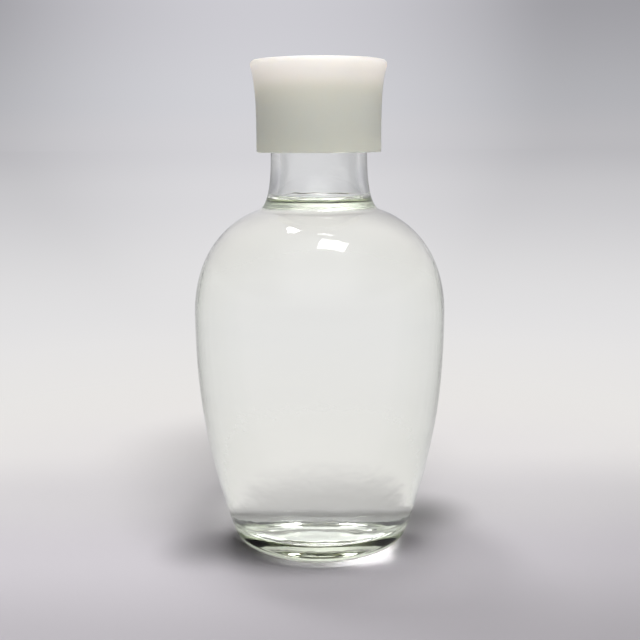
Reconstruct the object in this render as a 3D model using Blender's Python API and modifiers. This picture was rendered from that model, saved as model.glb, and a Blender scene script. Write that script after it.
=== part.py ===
"""A round clear glass bottle with a broad shoulder, closed by a flared two-part plastic screw cap.

The bottle stands on its foot at the origin, +Z up, in metres. It comes apart into four pieces:
the moulded glass bottle, the sealing disc, the threaded inner cap and the smooth flared outer cap.
The cap parts lie on the z axis, so each piece has its origin on the axis that the cap turns about.
"""

import math

import bmesh
import bpy
from mathutils import Vector

# Outside of the glass body, from the foot up
FOOT_RADIUS = 0.0291
FOOT_WIDTH = 0.0046
PUSH_UP_DEPTH = 0.0030
HEEL_RADIUS = 0.0072
HEEL_LEAN = math.radians(19.3)
BELLY_RADIUS = 0.0500
BELLY_HEIGHT = 0.0935
SHOULDER_RADIUS = 0.0247
SHOULDER_RISE = 0.0413
NECK_RADIUS = 0.0189
NECK_RISE = 0.0232
NECK_ROOT_REACH = 0.0031
FINISH_LENGTH = 0.0180
LIP_RADIUS = 0.0012

# Inside of the glass body
BODY_WALL = 0.0026
HEEL_WALL = 0.0042
BASE_THICKNESS = 0.0085
FLOOR_CROWN = 0.0010
INNER_HEEL_RADIUS = 0.0060
BORE_RADIUS = 0.0156
BORE_ROOT_REACH = 0.0062

# How far each curve's handles reach, as shares of the rise between its ends
LOWER_WALL_SHARE = 0.47
LOWER_BELLY_SHARE = 0.19
UPPER_BELLY_SHARE = 0.83
NECK_SHARE = 0.78
BORE_SHARE = 0.60

# Thread, the same on the glass and in the inner cap
THREAD_PITCH = 0.0042
THREAD_DEPTH = 0.0011
THREAD_ROOT_WIDTH = 0.0019
THREAD_CREST_WIDTH = 0.0009
GLASS_THREAD_DROP = 0.0032
GLASS_THREAD_TURNS = 1.25
CAP_THREAD_TURNS = 1.0
THREAD_FADE_TURNS = 0.12
THREAD_SINK = 0.0005

# Sealing disc
LINER_THICKNESS = 0.0012
LINER_SIDE_GAP = 0.0005
LINER_CHAMFER = 0.0003

# Inner cap
INNER_CAP_WALL = 0.0014
INNER_CAP_PLATE = 0.0016
INNER_CAP_SKIRT = 0.0168
INNER_CAP_EDGE = 0.0004
FLANGE_HEIGHT = 0.0012
RIB_HEIGHT = 0.0007
RIB_WIDTH = 0.0010
RIB_COUNT = 16
RIB_SINK = 0.0005

# Outer cap
OUTER_CAP_WALL = 0.0016
OUTER_CAP_TOP = 0.0019
SOCKET_DEPTH = 0.0222
HOLLOW_DEPTH = 0.0108
LEDGE_WIDTH = 0.0012
SNAP_BEAD_DEPTH = 0.0006
SNAP_BEAD_HEIGHT = 0.0012
FLARE = 0.00205
FLARE_LENGTH = 0.0245
FLARE_LEAN = math.radians(14.0)
TOP_EDGE_RADIUS = 0.0016
SKIRT_EDGE_RADIUS = 0.0004
HOLLOW_CORNER_RADIUS = 0.0010
FLARE_LOWER_SHARE = 0.55
FLARE_UPPER_SHARE = 0.22

# Clearances
PART_GAP = 0.0003
THREAD_CLEARANCE = 0.0004

# How finely round things are drawn
WELD = 0.00001
TURN_STEPS = 48
THREAD_STEPS_PER_TURN = 36
CURVE_STEPS = 8
SHORT_CURVE_STEPS = 5
ARC_STEPS = 4
SMALL_ARC_STEPS = 3
SMOOTH_ANGLE = math.radians(40)

QUARTER_TURN = math.radians(90)
FULL_TURN = math.radians(360)
UP = Vector((0, 1))

# Heights worked out from the sizes above
NECK_HEIGHT = BELLY_HEIGHT + SHOULDER_RISE + NECK_RISE
MOUTH_HEIGHT = NECK_HEIGHT + FINISH_LENGTH
LINER_BOTTOM = MOUTH_HEIGHT + PART_GAP
LINER_TOP = LINER_BOTTOM + LINER_THICKNESS
PLATE_BOTTOM = LINER_TOP + PART_GAP
PLATE_TOP = PLATE_BOTTOM + INNER_CAP_PLATE
SKIRT_BOTTOM = PLATE_BOTTOM - INNER_CAP_SKIRT
LEDGE_HEIGHT = PLATE_TOP + PART_GAP
OUTER_CAP_BOTTOM = LEDGE_HEIGHT - SOCKET_DEPTH
HOLLOW_TOP = LEDGE_HEIGHT + HOLLOW_DEPTH
OUTER_CAP_HEIGHT = HOLLOW_TOP + OUTER_CAP_TOP

# Radii worked out from the neck outwards
GLASS_THREAD_RADIUS = NECK_RADIUS + THREAD_DEPTH
INNER_CAP_BORE = GLASS_THREAD_RADIUS + THREAD_CLEARANCE
CAP_THREAD_RADIUS = INNER_CAP_BORE - THREAD_DEPTH
LINER_RADIUS = INNER_CAP_BORE - LINER_SIDE_GAP
INNER_CAP_RADIUS = INNER_CAP_BORE + INNER_CAP_WALL
RIB_RADIUS = INNER_CAP_RADIUS + RIB_HEIGHT
OUTER_CAP_BORE = RIB_RADIUS + PART_GAP
HOLLOW_RADIUS = OUTER_CAP_BORE - LEDGE_WIDTH
OUTER_CAP_RADIUS = OUTER_CAP_BORE + OUTER_CAP_WALL
FLARE_RADIUS = OUTER_CAP_RADIUS + FLARE

# The glass thread's middle line at its upper end, and the cap's thread half a pitch under it
GLASS_THREAD_TOP = MOUTH_HEIGHT - GLASS_THREAD_DROP
CAP_THREAD_TOP = GLASS_THREAD_TOP - THREAD_PITCH / 2


def clear_scene():
    """Removes whatever the scene holds."""
    for found in list(bpy.data.objects):
        bpy.data.objects.remove(found)


def new_collection(name):
    """A collection in the scene."""
    made = bpy.data.collections.new(name)
    bpy.context.scene.collection.children.link(made)
    return made


def plastic(name, colour, roughness):
    """An opaque moulded plastic."""
    made = bpy.data.materials.new(name)
    made.use_nodes = True
    shader = made.node_tree.nodes["Principled BSDF"]
    shader.inputs["Base Color"].default_value = (*colour, 1)
    shader.inputs["Roughness"].default_value = roughness
    shader.inputs["Metallic"].default_value = 0
    return made


def clear_glass(name, colour, roughness, ior):
    """A clear moulded glass."""
    made = plastic(name, colour, roughness)
    shader = made.node_tree.nodes["Principled BSDF"]
    shader.inputs["Transmission Weight"].default_value = 1
    shader.inputs["IOR"].default_value = ior
    return made


def leaning(angle):
    """The direction in the outline's plane that leans outwards from straight up by this angle."""
    return Vector((math.sin(angle), math.cos(angle)))


def arc(centre, radius, start, end, steps):
    """Points on an arc, both ends included. Angles are from +X towards +Z."""
    points = []
    for step in range(steps + 1):
        angle = start + (end - start) * step / steps
        points.append(centre + radius * Vector((math.cos(angle), math.sin(angle))))
    return points


def curve(start, first_handle, last_handle, end, steps):
    """Points on a cubic curve after its start, with the end included."""
    points = []
    for step in range(1, steps + 1):
        s = step / steps
        t = 1 - s
        near = t * t * t * start + 3 * t * t * s * first_handle
        far = 3 * t * s * s * last_handle + s * s * s * end
        points.append(near + far)
    return points


def turned(name, outline, collection):
    """A solid of revolution about z. The outline runs clockwise, so down its outer side."""
    mesh = bpy.data.meshes.new(name)
    vertices = [(point.x, 0, point.y) for point in outline]
    mesh.from_pydata(vertices, [(i, i + 1) for i in range(len(vertices) - 1)], [])
    made = bpy.data.objects.new(name, mesh)
    collection.objects.link(made)
    screw = made.modifiers.new("turn", "SCREW")
    screw.axis = "Z"
    screw.angle = FULL_TURN
    screw.steps = TURN_STEPS
    screw.render_steps = TURN_STEPS
    screw.use_merge_vertices = True
    screw.merge_threshold = WELD
    return made


def join(target, helper):
    """Unites the helper with the target."""
    union = target.modifiers.new(helper.name, "BOOLEAN")
    union.operation = "UNION"
    union.solver = "EXACT"
    union.object = helper


def as_helper(made):
    """Keeps a shape that is joined to another out of the model."""
    made.hide_render = True
    made.display_type = "WIRE"
    return made


def finish(made, material):
    """Applies the modifiers, shades the piece smooth and gives it its material."""
    graph = bpy.context.evaluated_depsgraph_get()
    mesh = bpy.data.meshes.new_from_object(made.evaluated_get(graph))
    made.modifiers.clear()
    made.data = mesh
    mesh.name = made.name
    mesh.shade_smooth()
    mesh.set_sharp_from_angle(angle=SMOOTH_ANGLE)
    mesh.materials.clear()
    mesh.materials.append(material)
    return made


def body_side(heel_end, belly, shoulder, neck, root_reach, neck_share):
    """One surface of the glass from the end of the heel's arc up to the neck."""
    lower_rise = belly.y - heel_end.y
    upper_rise = shoulder.y - belly.y
    neck_rise = neck.y - shoulder.y
    heel_handle = heel_end + lower_rise * LOWER_WALL_SHARE * leaning(HEEL_LEAN)
    under_belly = belly - lower_rise * LOWER_BELLY_SHARE * UP
    over_belly = belly + upper_rise * UPPER_BELLY_SHARE * UP
    inwards = (shoulder - over_belly).normalized()
    points = curve(heel_end, heel_handle, under_belly, belly, CURVE_STEPS)
    points += curve(belly, over_belly, shoulder, shoulder, CURVE_STEPS)
    root_handle = shoulder + root_reach * inwards
    neck_handle = neck - neck_rise * neck_share * UP
    points += curve(shoulder, root_handle, neck_handle, neck, SHORT_CURVE_STEPS)
    return points


def glass_outside():
    """The outer surface, from the middle of the push-up round the foot and up to the lip."""
    foot_inner = Vector((FOOT_RADIUS - FOOT_WIDTH, 0))
    top_of_push_up = Vector((0, PUSH_UP_DEPTH))
    level = Vector((foot_inner.x / 2, PUSH_UP_DEPTH))
    points = [top_of_push_up]
    points += curve(top_of_push_up, level, level, foot_inner, SMALL_ARC_STEPS)
    heel_centre = Vector((FOOT_RADIUS, HEEL_RADIUS))
    heel = arc(heel_centre, HEEL_RADIUS, -QUARTER_TURN, -HEEL_LEAN, ARC_STEPS)
    points += heel
    belly = Vector((BELLY_RADIUS, BELLY_HEIGHT))
    shoulder = Vector((SHOULDER_RADIUS, BELLY_HEIGHT + SHOULDER_RISE))
    neck = Vector((NECK_RADIUS, NECK_HEIGHT))
    points += body_side(heel[-1], belly, shoulder, neck, NECK_ROOT_REACH, NECK_SHARE)
    lip_centre = Vector((NECK_RADIUS - LIP_RADIUS, MOUTH_HEIGHT - LIP_RADIUS))
    points += arc(lip_centre, LIP_RADIUS, 0, QUARTER_TURN, SMALL_ARC_STEPS)
    return points


def glass_inside():
    """The inner surface, from the middle of the floor up to the lip."""
    outer_heel = Vector((FOOT_RADIUS, HEEL_RADIUS))
    outer_heel_end = outer_heel + HEEL_RADIUS * Vector((math.cos(HEEL_LEAN), -math.sin(HEEL_LEAN)))
    arc_height = BASE_THICKNESS + INNER_HEEL_RADIUS
    end_height = arc_height - INNER_HEEL_RADIUS * math.sin(HEEL_LEAN)
    outer_radius = outer_heel_end.x + (end_height - outer_heel_end.y) * math.tan(HEEL_LEAN)
    inner_radius = outer_radius - HEEL_WALL / math.cos(HEEL_LEAN)
    heel_centre = Vector((inner_radius - INNER_HEEL_RADIUS * math.cos(HEEL_LEAN), arc_height))
    crown = Vector((0, BASE_THICKNESS + FLOOR_CROWN))
    floor_edge = Vector((heel_centre.x, BASE_THICKNESS))
    middle = heel_centre.x / 2
    points = [crown]
    floor_handles = (Vector((middle, crown.y)), Vector((middle, floor_edge.y)))
    points += curve(crown, *floor_handles, floor_edge, SMALL_ARC_STEPS)
    heel = arc(heel_centre, INNER_HEEL_RADIUS, -QUARTER_TURN, -HEEL_LEAN, ARC_STEPS)
    points += heel[1:]
    belly = Vector((BELLY_RADIUS - BODY_WALL, BELLY_HEIGHT))
    outer_shoulder = Vector((SHOULDER_RADIUS, BELLY_HEIGHT + SHOULDER_RISE))
    over_belly = Vector((BELLY_RADIUS, BELLY_HEIGHT + SHOULDER_RISE * UPPER_BELLY_SHARE))
    slope = (outer_shoulder - over_belly).normalized()
    shoulder = outer_shoulder + BODY_WALL * Vector((-slope.y, slope.x))
    bore_start = Vector((BORE_RADIUS, NECK_HEIGHT))
    points += body_side(heel[-1], belly, shoulder, bore_start, BORE_ROOT_REACH, BORE_SHARE)
    lip_centre = Vector((BORE_RADIUS + LIP_RADIUS, MOUTH_HEIGHT - LIP_RADIUS))
    points += arc(lip_centre, LIP_RADIUS, 2 * QUARTER_TURN, QUARTER_TURN, SMALL_ARC_STEPS)
    return points


def helical_ridge(name, root_radius, crest_radius, top, turns, collection):
    """A right-hand thread ridge whose ends fade into the wall that carries it.

    root_radius lies inside that wall. A helix with fading ends is a loft between unlike sections,
    so its rings are placed one by one.
    """
    shape = bmesh.new()
    steps = round(turns * THREAD_STEPS_PER_TURN)
    buried_radius = root_radius + math.copysign(THREAD_SINK / 2, crest_radius - root_radius)
    rings = []
    for step in range(steps + 1):
        turned_by = turns * step / steps
        from_end = min(turned_by, turns - turned_by) / THREAD_FADE_TURNS
        share = math.sin(min(from_end, 1) * QUARTER_TURN)
        crest = buried_radius + (crest_radius - buried_radius) * share
        angle = (turned_by - turns) * FULL_TURN
        middle = top + THREAD_PITCH * angle / FULL_TURN
        corners = (
            (root_radius, THREAD_ROOT_WIDTH / 2),
            (crest, THREAD_CREST_WIDTH / 2),
            (crest, -THREAD_CREST_WIDTH / 2),
            (root_radius, -THREAD_ROOT_WIDTH / 2),
        )
        ring = []
        for radius, offset in corners:
            place = (radius * math.cos(angle), radius * math.sin(angle), middle + offset)
            ring.append(shape.verts.new(place))
        rings.append(ring)
    for low, high in zip(rings, rings[1:]):
        for i in range(len(low)):
            j = (i + 1) % len(low)
            shape.faces.new((low[i], low[j], high[j], high[i]))
    shape.faces.new(rings[0])
    shape.faces.new(rings[-1])
    bmesh.ops.recalc_face_normals(shape, faces=shape.faces)
    mesh = bpy.data.meshes.new(name)
    shape.to_mesh(mesh)
    shape.free()
    made = bpy.data.objects.new(name, mesh)
    collection.objects.link(made)
    return as_helper(made)


def make_glass_bottle(parts, helpers):
    """The moulded bottle: body, thick foot with its push-up, neck, thread and rounded lip."""
    outside = list(reversed(glass_outside()))
    bottle = turned("glass_bottle", glass_inside() + outside, parts)
    thread = helical_ridge(
        "glass_thread",
        NECK_RADIUS - THREAD_SINK,
        GLASS_THREAD_RADIUS,
        GLASS_THREAD_TOP,
        GLASS_THREAD_TURNS,
        helpers,
    )
    join(bottle, thread)
    return finish(bottle, clear_glass("clear_soda_lime_glass", (0.93, 0.96, 0.93), 0.02, 1.52))


def make_liner(parts):
    """The soft disc that seals the lip of the glass."""
    edge = LINER_RADIUS - LINER_CHAMFER
    outline = [
        Vector((0, LINER_TOP)),
        Vector((edge, LINER_TOP)),
        Vector((LINER_RADIUS, LINER_TOP - LINER_CHAMFER)),
        Vector((LINER_RADIUS, LINER_BOTTOM + LINER_CHAMFER)),
        Vector((edge, LINER_BOTTOM)),
        Vector((0, LINER_BOTTOM)),
    ]
    liner = turned("liner", outline, parts)
    return finish(liner, plastic("white_foam_liner", (0.86, 0.86, 0.84), 0.7))


def make_ribs(helpers):
    """Upright ribs round the inner cap, which key it into the outer cap."""
    low = SKIRT_BOTTOM + FLANGE_HEIGHT / 2
    high = PLATE_TOP - INNER_CAP_EDGE
    inner = INNER_CAP_RADIUS - RIB_SINK
    shape = bmesh.new()
    for rib in range(RIB_COUNT):
        made = bmesh.ops.create_cube(shape, size=1)["verts"]
        bmesh.ops.scale(shape, vec=(RIB_RADIUS - inner, RIB_WIDTH, high - low), verts=made)
        middle = Vector(((RIB_RADIUS + inner) / 2, 0, (high + low) / 2))
        bmesh.ops.translate(shape, vec=middle, verts=made)
        angle = FULL_TURN * rib / RIB_COUNT
        turn = (math.cos(angle), math.sin(angle))
        for vertex in made:
            x, y, z = vertex.co
            vertex.co = (x * turn[0] - y * turn[1], x * turn[1] + y * turn[0], z)
    mesh = bpy.data.meshes.new("inner_cap_ribs")
    shape.to_mesh(mesh)
    shape.free()
    ribs = bpy.data.objects.new("inner_cap_ribs", mesh)
    helpers.objects.link(ribs)
    return as_helper(ribs)


def make_inner_cap(parts, helpers):
    """The threaded cap inside the outer one: top plate, skirt, bottom flange, thread and ribs."""
    flange_top = SKIRT_BOTTOM + FLANGE_HEIGHT
    outline = [
        Vector((0, PLATE_TOP)),
        Vector((INNER_CAP_RADIUS - INNER_CAP_EDGE, PLATE_TOP)),
        Vector((INNER_CAP_RADIUS, PLATE_TOP - INNER_CAP_EDGE)),
        Vector((INNER_CAP_RADIUS, flange_top)),
        Vector((RIB_RADIUS, flange_top)),
        Vector((RIB_RADIUS, SKIRT_BOTTOM + INNER_CAP_EDGE)),
        Vector((RIB_RADIUS - INNER_CAP_EDGE, SKIRT_BOTTOM)),
        Vector((INNER_CAP_BORE, SKIRT_BOTTOM)),
        Vector((INNER_CAP_BORE, PLATE_BOTTOM)),
        Vector((0, PLATE_BOTTOM)),
    ]
    cap = turned("inner_cap", outline, parts)
    join(cap, make_ribs(helpers))
    thread = helical_ridge(
        "inner_cap_thread",
        INNER_CAP_BORE + THREAD_SINK,
        CAP_THREAD_RADIUS,
        CAP_THREAD_TOP,
        CAP_THREAD_TURNS,
        helpers,
    )
    join(cap, thread)
    return finish(cap, plastic("white_moulded_plastic", (0.84, 0.84, 0.80), 0.45))


def outer_cap_outside():
    """The smooth outside of the cap, from the middle of its top down to the skirt's edge."""
    edge_centre = Vector((FLARE_RADIUS - TOP_EDGE_RADIUS, OUTER_CAP_HEIGHT - TOP_EDGE_RADIUS))
    points = [Vector((0, OUTER_CAP_HEIGHT))]
    rim = arc(edge_centre, TOP_EDGE_RADIUS, QUARTER_TURN, -FLARE_LEAN, ARC_STEPS)
    points += rim
    flare_start = Vector((OUTER_CAP_RADIUS, OUTER_CAP_HEIGHT - FLARE_LENGTH))
    rise = rim[-1].y - flare_start.y
    upper_handle = rim[-1] - rise * FLARE_UPPER_SHARE * leaning(FLARE_LEAN)
    lower_handle = flare_start + rise * FLARE_LOWER_SHARE * UP
    points += curve(rim[-1], upper_handle, lower_handle, flare_start, CURVE_STEPS)
    edge = Vector((OUTER_CAP_RADIUS - SKIRT_EDGE_RADIUS, OUTER_CAP_BOTTOM + SKIRT_EDGE_RADIUS))
    points += arc(edge, SKIRT_EDGE_RADIUS, 0, -QUARTER_TURN, SMALL_ARC_STEPS)
    return points


def outer_cap_inside():
    """The stepped inside of the cap, from the skirt's edge up to the middle of the hollow's top."""
    bead_middle = SKIRT_BOTTOM - PART_GAP - SNAP_BEAD_HEIGHT / 2
    corner = Vector((HOLLOW_RADIUS - HOLLOW_CORNER_RADIUS, HOLLOW_TOP - HOLLOW_CORNER_RADIUS))
    points = [
        Vector((OUTER_CAP_BORE, OUTER_CAP_BOTTOM)),
        Vector((OUTER_CAP_BORE, bead_middle - SNAP_BEAD_HEIGHT / 2)),
        Vector((OUTER_CAP_BORE - SNAP_BEAD_DEPTH, bead_middle)),
        Vector((OUTER_CAP_BORE, bead_middle + SNAP_BEAD_HEIGHT / 2)),
        Vector((OUTER_CAP_BORE, LEDGE_HEIGHT)),
        Vector((HOLLOW_RADIUS, LEDGE_HEIGHT)),
    ]
    points += arc(corner, HOLLOW_CORNER_RADIUS, 0, QUARTER_TURN, SMALL_ARC_STEPS)
    points.append(Vector((0, HOLLOW_TOP)))
    return points


def make_outer_cap(parts):
    """The flared shell that is seen and gripped, hollow above the inner cap."""
    cap = turned("outer_cap", outer_cap_outside() + outer_cap_inside(), parts)
    return finish(cap, plastic("white_translucent_plastic", (0.92, 0.91, 0.88), 0.3))


def main():
    """Builds the bottle, closed."""
    clear_scene()
    parts = new_collection("round_glass_bottle")
    helpers = new_collection("joined_shapes")
    helpers.hide_render = True
    make_glass_bottle(parts, helpers)
    make_liner(parts)
    make_inner_cap(parts, helpers)
    make_outer_cap(parts)


main()
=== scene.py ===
"""Looks of the round glass bottle: clear soda-lime glass, a clear filling and a milky flared cap.

Every size of a piece is in millimetres in its class, as the maker's drawing would give it, and the
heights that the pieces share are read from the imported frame. Meshes are built in metres.
"""

import logging
import math
from collections.abc import Callable
from dataclasses import dataclass, field
from enum import Enum

import bpy
import numpy as np
from mathutils import Matrix, Vector


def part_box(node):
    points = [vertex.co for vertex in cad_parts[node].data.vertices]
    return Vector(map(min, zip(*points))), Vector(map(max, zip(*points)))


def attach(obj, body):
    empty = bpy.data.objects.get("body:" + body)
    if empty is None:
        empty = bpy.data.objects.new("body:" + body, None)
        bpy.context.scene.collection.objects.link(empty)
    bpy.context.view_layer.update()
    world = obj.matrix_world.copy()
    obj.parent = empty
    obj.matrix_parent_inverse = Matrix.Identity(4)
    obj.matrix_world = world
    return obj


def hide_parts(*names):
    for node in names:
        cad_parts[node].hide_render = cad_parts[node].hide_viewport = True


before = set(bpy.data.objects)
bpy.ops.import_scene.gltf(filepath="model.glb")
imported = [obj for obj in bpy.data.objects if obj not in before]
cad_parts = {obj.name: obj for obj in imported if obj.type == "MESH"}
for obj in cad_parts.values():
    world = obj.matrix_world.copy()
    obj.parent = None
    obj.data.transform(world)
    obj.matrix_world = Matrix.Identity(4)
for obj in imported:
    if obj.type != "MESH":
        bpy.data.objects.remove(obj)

log = logging.getLogger("round_glass_bottle")

MM = 0.001
FULL_TURN = 2 * math.pi
QUARTER_TURN = math.pi / 2
RELIEF_SHARE = 0.25
SMOOTH = {"interpolation_type": "SMOOTHSTEP"}

Point = tuple[float, float]
Pair = tuple[float, float]
Place = tuple[float, float, float]
Outline = list[Point]
Shift = Callable[[np.ndarray, np.ndarray, np.ndarray], np.ndarray]
Stops = tuple[tuple[float, str], ...]
Wave = tuple[float, int, float, float]
Piece = bpy.types.Object
Tree = bpy.types.NodeTree
Node = bpy.types.Node
Socket = bpy.types.NodeSocket
Source = Node | Socket


class Body(Enum):
    """The moving bodies of the frame that the new pieces ride on."""

    BOTTLE = "bottle"
    CAP = "cap"


def linear(colour: str) -> tuple[float, float, float, float]:
    """An sRGB hex colour as linear red, green, blue and alpha.

    Args:
        colour: Six hex digits after a hash sign.

    Returns:
        The linear colour with an alpha of one.
    """
    shares = [int(colour[i : i + 2], 16) / 255 for i in (1, 3, 5)]
    toe, toe_slope, offset, power = 0.04045, 12.92, 0.055, 2.4
    made = [c / toe_slope if c <= toe else ((c + offset) / (1 + offset)) ** power for c in shares]
    return (*made, 1.0)


def add_node(
    tree: Tree,
    kind: str,
    inputs: dict[str | int, object] | None = None,
    stops: Stops = (),
    **settings: object,
) -> Node:
    """Adds a node with its settings, its inputs and its colour stops.

    Args:
        tree: The node tree that takes the node.
        kind: The node's type name, without the words that all of them start with.
        inputs: Values by socket name or index. A socket is linked, and a node by its first output.
        stops: For a colour ramp, places from 0 to 1 with sRGB hex colours, in order.
        **settings: Properties of the node by name.

    Returns:
        The new node.
    """
    made = tree.nodes.new("ShaderNode" + kind)
    for name, value in settings.items():
        setattr(made, name, value)
    for name, value in (inputs or {}).items():
        if isinstance(value, Node):
            value = value.outputs[0]
        if isinstance(value, Socket):
            tree.links.new(value, made.inputs[name])
        else:
            made.inputs[name].default_value = value
    for index, (place, colour) in enumerate(stops):
        made.color_ramp.interpolation = "EASE"
        ends = made.color_ramp.elements
        stop = ends[index] if index < len(ends) else ends.new(place)
        stop.position = place
        stop.color = linear(colour)
    return made


def new_material(name: str) -> tuple[bpy.types.Material, Tree]:
    """A node material with nothing in its tree yet, and that tree."""
    made = bpy.data.materials.new(name)
    made.use_nodes = True
    made.node_tree.nodes.clear()
    return made, made.node_tree


def grained(tree: Tree, kind: str, size_mm: float, strength: float) -> tuple[Node, Node]:
    """A pattern of a real size all over a piece, and the shallow relief that it gives the skin.

    Args:
        tree: The node tree that takes the nodes.
        kind: The pattern's type name, as add_node takes it.
        size_mm: The size of one grain.
        strength: How much of the relief shows, from 0 to 1.

    Returns:
        The pattern and the relief.
    """
    place = add_node(tree, "TexCoord").outputs["Object"]
    grain = add_node(tree, kind, {"Vector": place, "Scale": 1 / (size_mm * MM)})
    depth = size_mm * RELIEF_SHARE * MM
    return grain, add_node(tree, "Bump", {"Height": grain, "Strength": strength, "Distance": depth})


def placed(name: str, data: bpy.types.ID, place: Place = (0.0, 0.0, 0.0)) -> Piece:
    """A new object in the scene, at a place in metres."""
    made = bpy.data.objects.new(name, data)
    made.location = place
    bpy.context.scene.collection.objects.link(made)
    return made


def arc(centre: Point, radius: float, start: float, end: float, steps: int) -> Outline:
    """Points on an arc, both ends included, with angles from outwards towards up."""
    made = []
    for angle in np.linspace(start, end, steps + 1):
        made.append((centre[0] + radius * math.cos(angle), centre[1] + radius * math.sin(angle)))
    return made


def cubic(start: Point, first: Point, last: Point, end: Point, steps: int) -> Outline:
    """Points on a cubic curve after its start, with the end included."""
    ends = [Vector(point) for point in (start, first, last, end)]
    made = []
    for step in range(1, steps + 1):
        s = step / steps
        weights = ((1 - s) ** 3, 3 * (1 - s) ** 2 * s, 3 * (1 - s) * s * s, s**3)
        point = sum((w * p for w, p in zip(weights, ends)), Vector((0, 0)))
        made.append((point.x, point.y))
    return made


def straight(start: Point, end: Point, steps: int) -> Outline:
    """Points on a straight line after its start, with the end included."""
    return [
        (start[0] + (end[0] - start[0]) * i / steps, start[1] + (end[1] - start[1]) * i / steps)
        for i in range(1, steps + 1)
    ]


def turned(name: str, outline: Outline, segments: int, shift: Shift | None = None) -> Piece:
    """A closed turned mesh whose outline starts and ends on the axis.

    Args:
        name: The piece's name.
        outline: Radius and height of each point in millimetres, running up inside and down outside.
        segments: How many steps go round.
        shift: How far each point moves outwards, in millimetres, from its angle, radius and height.

    Returns:
        The new object, shaded smooth.
    """
    radii, heights = (np.array(values) for values in zip(*outline[1:-1]))
    angles = np.arange(segments) * FULL_TURN / segments
    around, radius = np.meshgrid(angles, radii)
    height = np.repeat(heights[:, None], segments, axis=1)
    if shift is not None:
        radius = radius + shift(around, radius, height)
    places = np.stack([radius * np.cos(around), radius * np.sin(around), height], axis=-1)
    ends = [(0.0, 0.0, outline[0][1]), (0.0, 0.0, outline[-1][1])]
    vertices = np.concatenate([places.reshape(-1, 3), np.array(ends)]) * MM
    rows = len(radii)
    first_pole, last_pole = rows * segments, rows * segments + 1
    faces = []
    for row in range(rows - 1):
        for i in range(segments):
            j = (i + 1) % segments
            low, high = row * segments, (row + 1) * segments
            faces.append((low + i, high + i, high + j, low + j))
    top = (rows - 1) * segments
    for i in range(segments):
        j = (i + 1) % segments
        faces.append((first_pole, i, j))
        faces.append((top + i, last_pole, top + j))
    mesh = bpy.data.meshes.new(name)
    mesh.from_pydata(vertices.tolist(), [], faces)
    mesh.shade_smooth()
    return placed(name, mesh)


def in_first_rows(piece: Piece, segments: int, rows: int) -> np.ndarray:
    """Marks the faces of a turned piece in its outline's first rows, and the fan at its start."""
    count = len(piece.data.polygons)
    marked = np.arange(count) // segments < rows
    # The fans at the two poles come last, with a face of each by turns
    fans = count - 2 * segments
    marked[fans::2] = True
    marked[fans + 1 :: 2] = False
    return marked


@dataclass(frozen=True)
class Waviness:
    """Slow waves that moulding leaves in a glass wall.

    Each wave has its height, how often it repeats round the wall, its length up the wall and a phase.
    """

    height_mm: float = 0.05
    waves: tuple[Wave, ...] = (
        (1.0, 2, 61.0, 0.4),
        (0.7, 3, -43.0, 2.1),
        (0.5, 5, 37.0, 4.0),
        (0.35, 8, -29.0, 1.2),
        (0.2, 13, 19.0, 5.1),
    )

    def at(self, angle: np.ndarray, height: np.ndarray) -> np.ndarray:
        """How far the wall stands out there, in millimetres."""
        made = np.zeros_like(angle)
        for share, turns, length, phase in self.waves:
            made += share * np.cos(turns * angle + FULL_TURN * height / length + phase)
        return self.height_mm * made

    @property
    def most(self) -> float:
        """The most that the waves can stand out, in millimetres."""
        return self.height_mm * sum(share for share, *_ in self.waves)


# Where the hot glass ran into the heel it set in short wrinkles, which break the light into glints
HEEL_WAVES: tuple[Wave, ...] = (
    (1.0, 9, 13.0, 0.3),
    (0.8, 16, -9.0, 2.0),
    (0.6, 27, 7.0, 4.2),
    (0.4, 41, 5.0, 1.1),
)


@dataclass(frozen=True)
class Thread:
    """A right-hand screw thread, in millimetres and turns."""

    pitch: float = 4.2
    depth: float = 1.1
    root_width: float = 1.9
    crest_width: float = 0.9
    fade_turns: float = 0.12

    def rise(self, angle: np.ndarray, height: np.ndarray, top: float, turns: float) -> np.ndarray:
        """How far the ridge stands out at a place on its wall.

        Args:
            angle: Angle round the axis, from 0 to a full turn.
            height: Height in millimetres.
            top: Height of the ridge's middle line at its upper end, which lies at angle 0.
            turns: The ridge's length in turns.

        Returns:
            The rise in millimetres, 0 off the ridge.
        """
        best = np.zeros_like(angle)
        for lap in range(math.ceil(turns) + 1):
            back = np.where(angle > 0, lap - angle / FULL_TURN, lap)
            along = np.minimum(back, turns - back)
            fade = np.sin(np.clip(along / self.fade_turns, 0, 1) * QUARTER_TURN)
            away = np.abs(height - (top - self.pitch * back))
            slope = (self.root_width / 2 - away) / ((self.root_width - self.crest_width) / 2)
            share = np.clip(slope, 0, 1)
            share = share * share * (3 - 2 * share)
            best = np.maximum(best, self.depth * fade * share * (along >= 0))
        return best


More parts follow.
